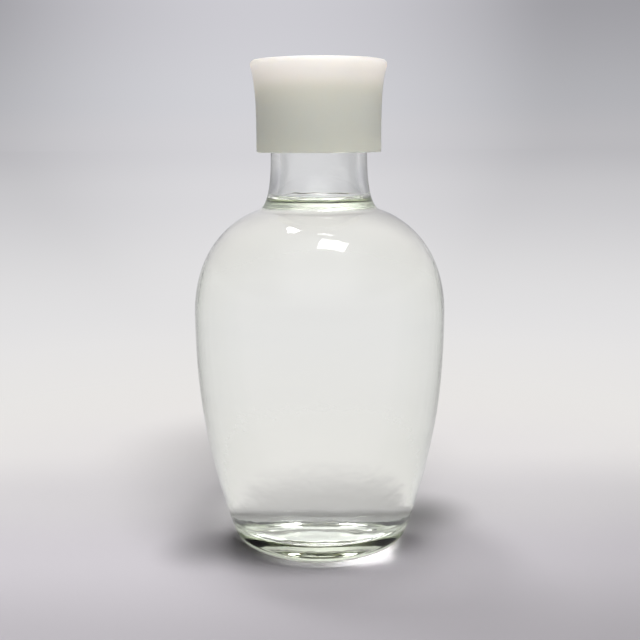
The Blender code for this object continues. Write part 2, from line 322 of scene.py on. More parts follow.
@dataclass(frozen=True)
class SodaLimeGlass:
    """Clear soda-lime glass, blown in a mould and fire polished.

    It is smooth and faintly green where light runs far through it, as in the foot and at the rims. Its
    upright outer rims also carry a painted dark shade.
    """

    name: str = "soda_lime_glass_fire_polished"
    colour: str = "#fefffe"
    # Painted shade on the rims, by how far the wall turns from the eye: darker towards the edge, over
    # the glass's colour and its reflections
    painted_rim_stops: Stops = (
        (0.20, "#ffffff"),
        (0.31, "#f9faf9"),
        (0.40, "#f4f5f3"),
        (0.51, "#edeeec"),
        (0.60, "#e1e2df"),
        (0.68, "#caccc8"),
        (0.74, "#aaaca7"),
        (0.79, "#6f726b"),
        (0.84, "#2c302a"),
        (0.90, "#181c17"),
    )
    # How much of that tone counts, from a wall that faces down, at 0, to one that faces up, at 1
    upright_stops: Stops = (
        (0.36, "#000000"),
        (0.455, "#f0f0f0"),
        (0.57, "#f0f0f0"),
        (0.78, "#000000"),
    )
    body_tint: str = "#eef6d6"
    density: float = 10.0
    ior: float = 1.52
    ior_to_liquid: float = 1.14
    roughness: float = 0.0
    ripple_mm: float = 6.0
    ripple_strength: float = 0.05

    def painted_rim_tone(self, tree: Tree) -> Socket:
        """The surface's tone, with painted dark shade on the rims of the outer skin where the wall
        stands upright.
        """
        facing = add_node(tree, "LayerWeight", {"Blend": 0.5}).outputs["Facing"]
        rim = add_node(tree, "ValToRGB", {"Fac": facing}, stops=self.painted_rim_stops)
        lie = add_node(tree, "NewGeometry").outputs["Normal"]
        rise = add_node(tree, "SeparateXYZ", {"Vector": lie}).outputs["Z"]
        half = add_node(tree, "MapRange", {"Value": rise, "From Min": -1.0, "From Max": 1.0})
        upright = add_node(tree, "ValToRGB", {"Fac": half}, stops=self.upright_stops)
        outer = add_node(tree, "Attribute", attribute_name="outer").outputs["Fac"]
        share = add_node(tree, "Math", {0: upright, 1: outer}, operation="MULTIPLY")
        ends = {0: share, 6: linear(self.colour), 7: rim}
        return add_node(tree, "Mix", ends, data_type="RGBA").outputs[2]

    def material(self) -> bpy.types.Material:
        """The glass as a node material."""
        made, tree = new_material(self.name)
        _, ripple = grained(tree, "TexNoise", self.ripple_mm, self.ripple_strength)
        # Where the filling wets the inner wall, light bends only by the step from glass to liquid
        wet = add_node(tree, "Attribute", attribute_name="wet").outputs["Fac"]
        ends = {"Value": wet, "To Min": self.ior, "To Max": self.ior_to_liquid}
        bend = add_node(tree, "MapRange", ends)
        tone = self.painted_rim_tone(tree)
        skin = {
            "Base Color": tone,
            "Roughness": self.roughness,
            "IOR": bend,
            "Transmission Weight": 1.0,
            "Specular Tint": tone,
            "Normal": ripple,
        }
        shader = add_node(tree, "BsdfPrincipled", skin)
        body = {"Color": linear(self.body_tint), "Density": self.density}
        absorption = add_node(tree, "VolumeAbsorption", body)
        add_node(tree, "OutputMaterial", {"Surface": shader, "Volume": absorption})
        return made


@dataclass(frozen=True)
class ClearLiquid:
    """The clear watery filling.

    The eye sees only its level surface and the bright edge where it climbs the glass.
    """

    name: str = "clear_watery_filling"
    colour: str = "#ffffff"
    ior: float = 1.333
    roughness: float = 0.0

    def surface(self) -> bpy.types.Material:
        """The surface between the liquid and the air above it."""
        made, tree = new_material(self.name)
        skin = {
            "Base Color": linear(self.colour),
            "Roughness": self.roughness,
            "IOR": self.ior,
            "Transmission Weight": 1.0,
        }
        shader = add_node(tree, "BsdfPrincipled", skin)
        add_node(tree, "OutputMaterial", {"Surface": shader})
        return made

    def side(self) -> bpy.types.Material:
        """The liquid's side, which lies on the wetted glass and bends nothing of its own."""
        made, tree = new_material(self.name + "_against_glass")
        clear = add_node(tree, "BsdfTransparent", {"Color": linear(self.colour)})
        add_node(tree, "OutputMaterial", {"Surface": clear})
        return made


@dataclass(frozen=True)
class MilkyPolypropylene:
    """Natural polypropylene with a little white, injection moulded against a fine satin tool.

    Light soaks through the walls, so a thin shell lit from above glows, and it greys where the inner cap
    stands behind it. Both are partly lit through the walls and partly painted into the colour, lighter
    towards the top. The satin skin spreads its shine into a soft sheen.
    """

    name: str = "polypropylene_injection_moulded"
    # Painted glow and shade: the colour runs from lower to upper up the cap, over the height reach below
    upper: str = "#fefaf5"
    lower: str = "#ecece3"
    painted_glow_reach_mm: Pair = (178.0, 188.0)
    roughness_reach: Pair = (0.29, 0.39)
    ior: float = 1.49
    through_mm: float = 4.0
    through_shares: tuple[float, float, float] = (1.0, 0.93, 0.82)
    translucent_share: float = 0.40
    cloud_mm: float = 14.0
    cloud_detail: float = 3.0
    cloud_share: float = 0.015
    satin_mm: float = 0.6
    satin_strength: float = 0.04

    def tone(self, tree: Tree) -> Node:
        """The plastic's colour: a painted glow, lighter towards the top where the lit hollow shell
        glows, and greyer lower down, with faint flow clouds.
        """
        place = add_node(tree, "TexCoord").outputs["Object"]
        rise = add_node(tree, "SeparateXYZ", {"Vector": place}).outputs["Z"]
        low, top = (height * MM for height in self.painted_glow_reach_mm)
        reach = {"Value": rise, "From Min": low, "From Max": top}
        height = add_node(tree, "MapRange", reach, **SMOOTH)
        ends = ((0.0, self.lower), (1.0, self.upper))
        even = add_node(tree, "ValToRGB", {"Fac": height}, stops=ends)
        grain = {"Vector": place, "Scale": 1 / (self.cloud_mm * MM), "Detail": self.cloud_detail}
        cloud = add_node(tree, "TexNoise", grain)
        share = {"Value": cloud, "To Min": 1 - self.cloud_share, "To Max": 1 + self.cloud_share}
        mottle = add_node(tree, "MapRange", share)
        return add_node(tree, "VectorMath", {0: even, "Scale": mottle}, operation="SCALE")

    def material(self) -> bpy.types.Material:
        """The plastic as a node material."""
        made, tree = new_material(self.name)
        tone = self.tone(tree)
        grain, bump = grained(tree, "TexNoise", self.satin_mm, self.satin_strength)
        low, top = self.roughness_reach
        satin = add_node(tree, "MapRange", {"Value": grain, "To Min": low, "To Max": top})
        skin = {
            "Base Color": tone,
            "Roughness": satin,
            "IOR": self.ior,
            "Subsurface Weight": 1.0,
            "Subsurface Radius": self.through_shares,
            "Subsurface Scale": self.through_mm * MM,
            "Normal": bump,
        }
        shader = add_node(tree, "BsdfPrincipled", skin)
        through = add_node(tree, "BsdfTranslucent", {"Color": tone, "Normal": bump})
        mixed = add_node(tree, "MixShader", {0: self.translucent_share, 1: shader, 2: through})
        add_node(tree, "OutputMaterial", {"Surface": mixed})
        return made


@dataclass(frozen=True)
class FoamedPolyethylene:
    """White foamed polyethylene, punched from sheet.

    The fine closed cells in its skin make it matt and faintly pitted.
    """

    name: str = "foamed_polyethylene_punched"
    colour: str = "#efeee7"
    cell_colour: str = "#dcdad0"
    roughness: float = 0.6
    cell_mm: float = 0.5
    cell_strength: float = 0.15

    def material(self) -> bpy.types.Material:
        """The foam as a node material."""
        made, tree = new_material(self.name)
        cells, pits = grained(tree, "TexVoronoi", self.cell_mm, self.cell_strength)
        ends = ((0.1, self.cell_colour), (0.6, self.colour))
        tone = add_node(tree, "ValToRGB", {"Fac": cells}, stops=ends)
        skin = {"Base Color": tone, "Roughness": self.roughness, "Normal": pits}
        shader = add_node(tree, "BsdfPrincipled", skin)
        add_node(tree, "OutputMaterial", {"Surface": shader})
        return made


@dataclass
class GlassBottle:
    """The moulded bottle, in millimetres, with its foot on the floor."""

    foot_radius: float = 29.1
    foot_width: float = 4.6
    push_up_depth: float = 3.0
    heel_radius: float = 7.2
    heel_lean: float = math.radians(19.3)
    belly_height: float = 93.5
    shoulder_radius: float = 24.7
    shoulder_rise: float = 41.3
    neck_radius: float = 18.9
    neck_rise: float = 23.2
    neck_root_reach: float = 3.1
    lip_radius: float = 1.2
    body_wall: float = 2.6
    heel_wall: float = 4.2
    base_thickness: float = 8.5
    floor_crown: float = 1.0
    inner_heel_radius: float = 6.0
    bore_radius: float = 15.6
    bore_root_reach: float = 6.2
    lower_wall_share: float = 0.47
    lower_belly_share: float = 0.19
    upper_belly_share: float = 0.83
    neck_share: float = 0.78
    bore_share: float = 0.60
    thread_drop: float = 3.2
    thread_turns: float = 1.25
    thread: Thread = Thread()
    outer_waves: Waviness = Waviness(0.012)
    inner_waves: Waviness = Waviness(0.07)
    heel_waves: Waviness = Waviness(0.09, HEEL_WAVES)
    finish: SodaLimeGlass = SodaLimeGlass()
    segments: int = 240
    push_up_steps: int = 24
    foot_steps: int = 3
    heel_steps: int = 16
    wall_steps: int = 76
    shoulder_steps: int = 64
    neck_root_steps: int = 40
    neck_steps: int = 64
    bore_steps: int = 16
    lip_steps: int = 8
    floor_steps: int = 28
    belly_radius: float = field(init=False)
    mouth_height: float = field(init=False)

    def __post_init__(self) -> None:
        """Reads the sizes that the frame gives."""
        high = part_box("glass_bottle")[1]
        self.belly_radius = high.x / MM
        self.mouth_height = high.z / MM

    @property
    def shoulder_height(self) -> float:
        """Height at which the shoulder turns into the neck's root."""
        return self.belly_height + self.shoulder_rise

    @property
    def neck_height(self) -> float:
        """Height at which the neck's slope ends and its straight finish starts."""
        return self.shoulder_height + self.neck_rise

    def side(
        self, heel_end: Point, belly: Point, shoulder: Point, neck: Point, reach: float, share: float
    ) -> Outline:
        """One surface of the wall from the end of the heel's arc up to the neck.

        Args:
            heel_end: Where the heel's arc ends.
            belly: The widest point.
            shoulder: Where the shoulder turns into the neck's root.
            neck: Where the neck's slope ends.
            reach: How far the root's curve follows the shoulder's slope.
            share: How far down the neck's end pulls the curve, as a share of the rise.

        Returns:
            The outline after heel_end.
        """
        lower_rise, upper_rise = belly[1] - heel_end[1], shoulder[1] - belly[1]
        lean = (math.sin(self.heel_lean), math.cos(self.heel_lean))
        first = (
            heel_end[0] + lower_rise * self.lower_wall_share * lean[0],
            heel_end[1] + lower_rise * self.lower_wall_share * lean[1],
        )
        under_belly = (belly[0], belly[1] - lower_rise * self.lower_belly_share)
        over_belly = (belly[0], belly[1] + upper_rise * self.upper_belly_share)
        slope = (Vector(shoulder) - Vector(over_belly)).normalized()
        root = Vector(shoulder) + reach * slope
        under_neck = (neck[0], neck[1] - (neck[1] - shoulder[1]) * share)
        made = cubic(heel_end, first, under_belly, belly, self.wall_steps)
        made += cubic(belly, over_belly, shoulder, shoulder, self.shoulder_steps)
        made += cubic(shoulder, (root.x, root.y), under_neck, neck, self.neck_root_steps)
        return made

    def outside(self) -> Outline:
        """The outer surface from the middle of the push-up to the top of the lip."""
        foot_inner = (self.foot_radius - self.foot_width, 0.0)
        level = (foot_inner[0] / 2, self.push_up_depth)
        made = [(0.0, self.push_up_depth)]
        made += cubic(made[0], level, level, foot_inner, self.push_up_steps)
        centre = (self.foot_radius, self.heel_radius)
        heel = arc(centre, self.heel_radius, -QUARTER_TURN, -self.heel_lean, self.heel_steps)
        made += straight(foot_inner, heel[0], self.foot_steps)[:-1] + heel
        belly = (self.belly_radius, self.belly_height)
        shoulder = (self.shoulder_radius, self.shoulder_height)
        neck = (self.neck_radius, self.neck_height)
        made += self.side(heel[-1], belly, shoulder, neck, self.neck_root_reach, self.neck_share)
        lip = (self.neck_radius - self.lip_radius, self.mouth_height - self.lip_radius)
        made += straight(neck, (self.neck_radius, lip[1]), self.neck_steps)[:-1]
        made += arc(lip, self.lip_radius, 0, QUARTER_TURN, self.lip_steps)
        return made

    def inner_heel(self) -> Outline:
        """The arc inside the heel, from the floor's edge to the lower wall."""
        lean_cos, lean_sin = math.cos(self.heel_lean), math.sin(self.heel_lean)
        outer_end = (
            self.foot_radius + self.heel_radius * lean_cos,
            self.heel_radius * (1 - lean_sin),
        )
        arc_height = self.base_thickness + self.inner_heel_radius
        end_height = arc_height - self.inner_heel_radius * lean_sin
        outer_radius = outer_end[0] + (end_height - outer_end[1]) * math.tan(self.heel_lean)
        inner_radius = outer_radius - self.heel_wall / lean_cos
        centre = (inner_radius - self.inner_heel_radius * lean_cos, arc_height)
        return arc(centre, self.inner_heel_radius, -QUARTER_TURN, -self.heel_lean, self.heel_steps)

    def inside(self) -> Outline:
        """The inner surface from the middle of the floor to the top of the lip."""
        heel = self.inner_heel()
        crown = (0.0, self.base_thickness + self.floor_crown)
        edge = (heel[0][0], self.base_thickness)
        made = [crown]
        made += cubic(crown, (edge[0] / 2, crown[1]), (edge[0] / 2, edge[1]), edge, self.floor_steps)
        made += heel[1:]
        belly = (self.belly_radius - self.body_wall, self.belly_height)
        outer_shoulder = Vector((self.shoulder_radius, self.shoulder_height))
        over_belly_rise = self.shoulder_rise * self.upper_belly_share
        over_belly = Vector((self.belly_radius, self.belly_height + over_belly_rise))
        slope = (outer_shoulder - over_belly).normalized()
        shoulder = outer_shoulder + self.body_wall * Vector((-slope.y, slope.x))
        bore = (self.bore_radius, self.neck_height)
        made += self.side(
            heel[-1], belly, (shoulder.x, shoulder.y), bore, self.bore_root_reach, self.bore_share
        )
        lip = (self.bore_radius + self.lip_radius, self.mouth_height - self.lip_radius)
        made += straight(bore, (self.bore_radius, lip[1]), self.bore_steps)[:-1]
        made += arc(lip, self.lip_radius, 2 * QUARTER_TURN, QUARTER_TURN, self.lip_steps)
        return made

    def inner_shift(self, angle: np.ndarray, radius: np.ndarray, height: np.ndarray) -> np.ndarray:
        """How far the inner wall stands out from its outline, in millimetres."""
        below_lip = np.clip((self.mouth_height - self.lip_radius - height) / self.neck_rise, 0, 1)
        outwards = np.clip(radius / self.bore_radius, 0, 1)
        low = np.clip(1 - (height - self.base_thickness) / (2 * self.inner_heel_radius), 0, 1)
        waves = self.inner_waves.at(angle, height) * below_lip + self.heel_waves.at(angle, height) * low
        return waves * outwards

    def build(self, wet_height: float) -> Piece:
        """Builds the glass and marks what the filling wets.

        Args:
            wet_height: Height up to which the filling wets the inner wall, in millimetres.

        Returns:
            The glass as one closed mesh.
        """
        inner, outer = self.inside(), self.outside()
        outline = inner + outer[::-1][1:]
        inner_rows = len(inner) - 1
        thread_top = self.mouth_height - self.thread_drop

        def shift(angle: np.ndarray, radius: np.ndarray, height: np.ndarray) -> np.ndarray:
            """The waves of both walls and the thread outside, in millimetres."""
            made = self.inner_shift(angle, radius, height)
            calm = np.clip((self.neck_height - height) / self.neck_rise, 0, 1)
            calm = calm * (height > self.heel_radius)
            outside = (self.outer_waves.at(angle, height) - self.outer_waves.most) * calm
            outside += self.thread.rise(angle, height, thread_top, self.thread_turns)
            made[inner_rows:] = np.where(radius > self.bore_radius, outside, 0)[inner_rows:]
            return made

        glass = turned("bottle_glass", outline, self.segments, shift)
        heights = np.array([face.center.z for face in glass.data.polygons]) / MM
        is_inner = in_first_rows(glass, self.segments, inner_rows - 1)
        for name, is_marked in (("wet", is_inner & (heights < wet_height)), ("outer", ~is_inner)):
            marks = glass.data.attributes.new(name, "FLOAT", "FACE")
            marks.data.foreach_set("value", is_marked.astype(np.float32))
        return glass

    def dress(self, glass: Piece) -> None:
        """Gives the glass its finish and its place in the frame."""
        glass.data.materials.append(self.finish.material())
        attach(glass, Body.BOTTLE.value)
        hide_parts("glass_bottle")


@dataclass
class Filling:
    """The clear liquid that the bottle holds, in millimetres.

    It stands clear of the glass by a hair, and its surface follows the wall's waves near the edge.
    """

    level: float = 140.2
    climb: float = 1.0
    climb_reach: float = 1.0
    edge_reach: float = 3.0
    clearance: float = 0.04
    finish: ClearLiquid = ClearLiquid()
    segments: int = 240
    surface_steps: int = 60

    @property
    def contact_height(self) -> float:
        """Height at which the liquid's edge meets the glass."""
        return self.level + self.climb

    def build(self, bottle: GlassBottle) -> Piece:
        """Builds the liquid inside the glass.

        Args:
            bottle: The glass that holds it.

        Returns:
            The liquid as one closed mesh, its level surface in slot 0 and its side in slot 1.
        """
        wall = [point for point in bottle.inside() if point[1] < self.contact_height]
        after = next(point for point in bottle.inside() if point[1] >= self.contact_height)
        share = (self.contact_height - wall[-1][1]) / (after[1] - wall[-1][1])
        edge = wall[-1][0] + share * (after[0] - wall[-1][0])
        wall.append((edge, self.contact_height))
        surface = []
        for step in range(1, self.surface_steps):
            inwards = (edge - self.clearance) * (step / self.surface_steps) ** 2
            lift = self.climb * math.exp(-inwards / self.climb_reach)
            surface.append((edge - inwards, self.level + lift))
        surface.append((0.0, self.level))
        heel_top = bottle.base_thickness + bottle.inner_heel_radius
        outline = [(r, h + self.clearance * (h < heel_top)) for r, h in wall + surface]
        wall_rows = len(wall) - 1

        def shift(angle: np.ndarray, radius: np.ndarray, height: np.ndarray) -> np.ndarray:
            """The wall's waves, which fade out over the liquid's surface, in millimetres."""
            made = bottle.inner_shift(angle, radius, height) - self.clearance
            share = np.clip((radius - edge + self.edge_reach) / self.edge_reach, 0, 1)
            made[wall_rows:] = (made * share)[wall_rows:]
            return made

        liquid = turned("bottle_filling", outline, self.segments, shift)
        liquid.data.materials.append(self.finish.surface())
        liquid.data.materials.append(self.finish.side())
        is_side = in_first_rows(liquid, self.segments, wall_rows - 1)
        liquid.data.polygons.foreach_set("material_index", is_side.astype(int))
        return liquid

    def dress(self, liquid: Piece) -> None:
        """Gives the liquid its place in the frame."""
        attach(liquid, Body.BOTTLE.value)


@dataclass
class OuterCap:
    """The smooth flared shell of the cap, in millimetres."""

    wall: float = 1.6
    top_thickness: float = 1.9
    socket_depth: float = 22.2
    ledge_width: float = 1.2
    bead_depth: float = 0.6
    bead_height: float = 1.2
    bead_drop: float = 0.3
    flare: float = 2.05
    flare_length: float = 24.5
    flare_lean: float = math.radians(14.0)
    top_edge_radius: float = 1.6
    skirt_edge_radius: float = 0.4
    hollow_corner_radius: float = 1.0
    flare_lower_share: float = 0.55
    flare_upper_share: float = 0.22
    sharp_from: float = math.radians(50)
    finish: MilkyPolypropylene = MilkyPolypropylene()
    segments: int = 192
    top_steps: int = 12
    top_edge_steps: int = 16
    flare_steps: int = 48
    skirt_steps: int = 12
    skirt_edge_steps: int = 6
    bead_steps: int = 12
    socket_steps: int = 10
    ledge_steps: int = 3
    hollow_steps: int = 8
    bottom: float = field(init=False)
    top: float = field(init=False)
    flare_radius: float = field(init=False)
    insert_bottom: float = field(init=False)

    def __post_init__(self) -> None:
        """Reads the sizes that the frame gives."""
        low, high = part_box("outer_cap")
        self.bottom, self.top, self.flare_radius = low.z / MM, high.z / MM, high.x / MM
        self.insert_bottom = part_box("inner_cap")[0].z / MM

    def outside(self) -> Outline:
        """The outer surface from the middle of the top down to the skirt's edge."""
        radius = self.flare_radius - self.flare
        edge = (self.flare_radius - self.top_edge_radius, self.top - self.top_edge_radius)
        rim = arc(edge, self.top_edge_radius, QUARTER_TURN, -self.flare_lean, self.top_edge_steps)
        made = [(0.0, self.top)] + straight((0.0, self.top), rim[0], self.top_steps)[:-1] + rim
        start = (radius, self.top - self.flare_length)
        rise = rim[-1][1] - start[1]
        upper = (
            rim[-1][0] - rise * self.flare_upper_share * math.sin(self.flare_lean),
            rim[-1][1] - rise * self.flare_upper_share * math.cos(self.flare_lean),
        )
        lower = (start[0], start[1] + rise * self.flare_lower_share)
        made += cubic(rim[-1], upper, lower, start, self.flare_steps)
        skirt = (radius - self.skirt_edge_radius, self.bottom + self.skirt_edge_radius)
        made += straight(start, (radius, skirt[1]), self.skirt_steps)[:-1]
        made += arc(skirt, self.skirt_edge_radius, 0, -QUARTER_TURN, self.skirt_edge_steps)
        return made

    def inside(self) -> Outline:
        """The stepped inner surface from the skirt's edge to the middle of the hollow's top."""
        bore = self.flare_radius - self.flare - self.wall
        ledge = self.bottom + self.socket_depth
        hollow = bore - self.ledge_width
        bead = self.insert_bottom - self.bead_drop - self.bead_height / 2
        hollow_top = self.top - self.top_thickness
        corner = (hollow - self.hollow_corner_radius, hollow_top - self.hollow_corner_radius)
        made = [(bore, self.bottom), (bore, bead - self.bead_height / 2)]
        for step in range(1, self.bead_steps):
            along = step / self.bead_steps
            depth = self.bead_depth * math.sin(math.pi * along)
            made.append((bore - depth, bead + self.bead_height * (along - 0.5)))
        made.append((bore, bead + self.bead_height / 2))
        made += straight(made[-1], (bore, ledge), self.socket_steps)
        made += straight((bore, ledge), (hollow, ledge), self.ledge_steps)
        made += straight((hollow, ledge), (hollow, corner[1]), self.hollow_steps)[:-1]
        made += arc(corner, self.hollow_corner_radius, 0, QUARTER_TURN, self.hollow_steps)
        made += straight((corner[0], hollow_top), (0.0, hollow_top), self.top_steps)
        return made

    def build(self) -> Piece:
        """Builds the shell as one closed mesh."""
        return turned("cap_shell", self.outside() + self.inside(), self.segments)

    def dress(self, shell: Piece) -> None:
        """Gives the shell its finish and its place in the frame."""
        shell.data.set_sharp_from_angle(angle=self.sharp_from)
        shell.data.materials.append(self.finish.material())
        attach(shell, Body.CAP.value)
        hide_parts("outer_cap")


@dataclass
class CapInsides:
    """The threaded inner cap and the liner, which the scene shows as they were cut."""

    liner_finish: FoamedPolyethylene = FoamedPolyethylene()
    insert_finish: MilkyPolypropylene = MilkyPolypropylene(
        name="polypropylene_insert_moulded", upper="#e9e9e2", lower="#e9e9e2"
    )

    def dress(self) -> None:
        """Gives both pieces their finishes."""
        for node, finish in (("liner", self.liner_finish), ("inner_cap", self.insert_finish)):
            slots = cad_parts[node].data.materials
            slots.clear()
            slots.append(finish.material())
            log.info("%s: %s", node, finish.name)


@dataclass(frozen=True)
class Lamp:
    """A flat soft lamp that hangs level over the bottle, in metres."""

    name: str
    place: Place
    size: Pair
    watts: float
    turn: float = 0.0
    is_mirrored: bool = True

    def build(self) -> None:
        """Hangs the lamp. The eye never sees it straight, and sees it mirrored in the glass only when it
        is mirrored.
        """
        lamp = bpy.data.lights.new(self.name, "AREA")
        lamp.shape = "RECTANGLE"
        lamp.size, lamp.size_y = self.size
        lamp.energy = self.watts
        held = placed(self.name, lamp, self.place)
        held.rotation_euler.z = self.turn
        held.visible_camera = False
        held.visible_glossy = self.is_mirrored


@dataclass(frozen=True)
class Snoot:
    """A narrow lamp whose tube keeps its light on the cap and off the glass and the paper, in metres."""

    name: str
    place: Place
    watts: float
    aim: Place = (0.0, 0.0, 0.190)
    cone: float = math.radians(6.5)
    blend: float = 1.0
    bulb_radius: float = 0.05

    def build(self) -> None:
        """Stands the lamp beside the bottle. Neither the eye nor the glass sees it."""
        lamp = bpy.data.lights.new(self.name, "SPOT")
        lamp.energy = self.watts
        lamp.spot_size, lamp.spot_blend = self.cone, self.blend
        lamp.shadow_soft_size = self.bulb_radius
        held = placed(self.name, lamp, self.place)
        way = Vector(self.aim) - Vector(self.place)
        held.rotation_mode = "QUATERNION"
        held.rotation_quaternion = way.to_track_quat("-Z", "Y")
        held.visible_camera = held.visible_glossy = held.visible_transmission = False


@dataclass(frozen=True)
class PhotoCamera:
    """The camera at the photographer's place, a little over the shoulder, in metres and radians."""

    distance: float = 0.40035
    height: float = 0.1638
    side: float = 0.00012
    pitch: float = math.radians(10.36)
    roll: float = math.radians(-0.28)
    focal_px: float = 1008.0
    frame_px: float = 640.0
    sensor_mm: float = 36.0
    clip_range: Pair = (0.01, 50.0)

    def build(self) -> None:
        """Stands the camera and hands it to the scene."""
        data = bpy.data.cameras.new("camera")
        data.sensor_width = self.sensor_mm
        data.lens = self.focal_px / self.frame_px * self.sensor_mm
        data.clip_start, data.clip_end = self.clip_range
        camera = placed("camera", data, (self.side, -self.distance, self.height))
        tilt = Matrix.Rotation(QUARTER_TURN - self.pitch, 4, "X")
        roll = Matrix.Rotation(self.roll, 4, "Z")
        camera.rotation_mode = "QUATERNION"
        camera.rotation_quaternion = (tilt @ roll).to_quaternion()
        bpy.context.scene.camera = camera


@dataclass(frozen=True)
class PaintedShadow:
    """A soft oval patch of painted shadow on the paper, in metres."""

    place: Place
    reach: Pair
    share: float


@dataclass(frozen=True)
class PaperSweep:
    """Matt paper under the bottle, and the even backdrop that it runs into.

    Near the bottle the paper takes the lamps' light and the shadow, with painted shade towards the front
    and painted shadow patches round the foot over it. Further out, and in the air above it, the eye sees
    a plain painted tone. Distances are in metres from the bottle's axis.
    """

    name: str = "matt_paper_sweep"
    radius: float = 12.0
    gap: float = 0.0003
    segments: int = 256
    roughness: float = 0.5
    lit_radius: float = 0.13
    plain_radius: float = 0.30
    # Painted shade: the near paper is darker towards the front and at the front right
    near_reach: Pair = (-0.10, 0.24)
    near_stops: Stops = (
        (0.0, "#c8c4c9"),
        (0.22, "#dbd7dc"),
        (0.42, "#e0dddf"),
        (0.65, "#edeaea"),
        (1.0, "#f1eeec"),
    )
    near_lean: Place = (0.70, -0.70, 0.0)
    near_lean_reach: float = 0.15
    near_lean_share: float = 0.80
    # Painted shadows: behind the bottle, and beside the foot at the back right and the front left
    painted_shadows: tuple[PaintedShadow, ...] = (
        PaintedShadow((-0.023, 0.110, 0.0), (0.105, 0.100), 0.64),
        PaintedShadow((0.044, 0.024, 0.0), (0.029, 0.029), 0.55),
        PaintedShadow((-0.047, -0.018, 0.0), (0.024, 0.024), 0.75),
    )
    far_stops: Stops = (
        (0.18, "#e8e6e4"),
        (0.38, "#e4e3e4"),
        (0.72, "#dbdadd"),
        (0.92, "#d5d4d8"),
    )
    far_high_reach: Pair = (0.30, 0.92)
    horizon_high: float = 0.62
    air_stops: Stops = (
        (0.0, "#d5d4d8"),
        (0.034, "#d2d2d7"),
        (0.12, "#cdccd2"),
        (0.22, "#e4e4e8"),
        (0.5, "#fafafc"),
        (1.0, "#f0f0f4"),
    )
    air_high_reach: float = 0.117
    air_dim_rise: Pair = (0.12, 0.35)
    air_dim_reach: Pair = (0.3, 0.8)
    air_dim_share: float = 0.4
    front_reach: Pair = (-1.0, 0.4)
    front_share: float = 1.1
    front_air_share: float = 1.4
    vignette_turn: float = math.radians(2.8)
    vignette_growth: float = 12.5
    vignette_most: float = 0.42
    vignette_softness: float = 0.14
    vignette_reach: Pair = (0.55, 0.93)

    def seen_share(self, tree: Tree) -> Node:
        """One for what the eye sees straight, mirrored or through glass, and zero for light."""
        path = add_node(tree, "LightPath")
        seen = path.outputs["Is Camera Ray"]
        for kind in ("Is Glossy Ray", "Is Transmission Ray"):
            seen = add_node(tree, "Math", {0: seen, 1: path.outputs[kind]}, operation="MAXIMUM")
        depth = path.outputs["Diffuse Depth"]
        first = add_node(tree, "Math", {0: depth, 1: 0.5}, operation="LESS_THAN")
        return add_node(tree, "Math", {0: seen, 1: first}, operation="MULTIPLY")

    def vignette(self, tree: Tree, unit: Source, high: Source) -> Node:
        """How bright the sweep stays away from its middle behind the bottle.

        Args:
            tree: The node tree that takes the nodes.
            unit: The level direction from the bottle.
            high: From 0 at the near floor to 1 high on the sweep, where its sides are darker.

        Returns:
            The share of full brightness.
        """
        middle = (-math.sin(self.vignette_turn), math.cos(self.vignette_turn), 0.0)
        dot = add_node(tree, "VectorMath", {0: unit, 1: middle}, operation="DOT_PRODUCT")
        towards = dot.outputs["Value"]
        away = add_node(tree, "Math", {0: 1.0, 1: towards}, operation="SUBTRACT")
        grown = add_node(tree, "Math", {0: away, 1: self.vignette_growth}, operation="MULTIPLY")
        most = {0: grown, 1: self.vignette_most, 2: self.vignette_softness}
        held = add_node(tree, "Math", most, operation="SMOOTH_MIN")
        low, top = self.vignette_reach
        reach = {"Value": towards, "From Min": low, "From Max": top, "To Max": high}
        nearby = add_node(tree, "MapRange", reach, **SMOOTH)
        lost = add_node(tree, "Math", {0: held, 1: nearby}, operation="MULTIPLY")
        return add_node(tree, "Math", {0: 1.0, 1: lost}, operation="SUBTRACT")

    def turn_share(self, tree: Tree, place: Source, high: Source, front: float | Source) -> Node:
        """How bright the sweep is in a direction.

        Args:
            tree: The node tree that takes the nodes.
            place: A place or a direction seen from the bottle.
            high: From 0 at the near floor to 1 high on the sweep.
            front: The share on the camera's side of the bottle.

        Returns:
            The share of full brightness.
        """
        flat = (1.0, 1.0, 0.0)
        level = add_node(tree, "VectorMath", {0: place, 1: flat}, operation="MULTIPLY")
        unit = add_node(tree, "VectorMath", {0: level}, operation="NORMALIZE")
        back = add_node(tree, "SeparateXYZ", {"Vector": unit}).outputs["Y"]
        low, top = self.front_reach
        reach = {"Value": back, "From Min": low, "From Max": top, "To Min": front}
        share = add_node(tree, "MapRange", reach, **SMOOTH)
        left = self.vignette(tree, unit, high)
        return add_node(tree, "Math", {0: share, 1: left}, operation="MULTIPLY")

    def near_tone(self, tree: Tree, place: Source) -> Node:
        """The paper's tone near the bottle, with painted shade: darker towards the front, and a little
        darker at the front right.
        """
        depth = add_node(tree, "SeparateXYZ", {"Vector": place}).outputs["Y"]
        low, top = self.near_reach
        near = add_node(tree, "MapRange", {"Value": depth, "From Min": low, "From Max": top})
        even = add_node(tree, "ValToRGB", {"Fac": near}, stops=self.near_stops)
        dot = add_node(tree, "VectorMath", {0: place, 1: self.near_lean}, operation="DOT_PRODUCT")
        lean = {"Value": dot.outputs["Value"], "From Max": self.near_lean_reach}
        lean |= {"To Min": 1.0, "To Max": self.near_lean_share}
        share = add_node(tree, "MapRange", lean, **SMOOTH)
        return add_node(tree, "VectorMath", {0: even, "Scale": share}, operation="SCALE")

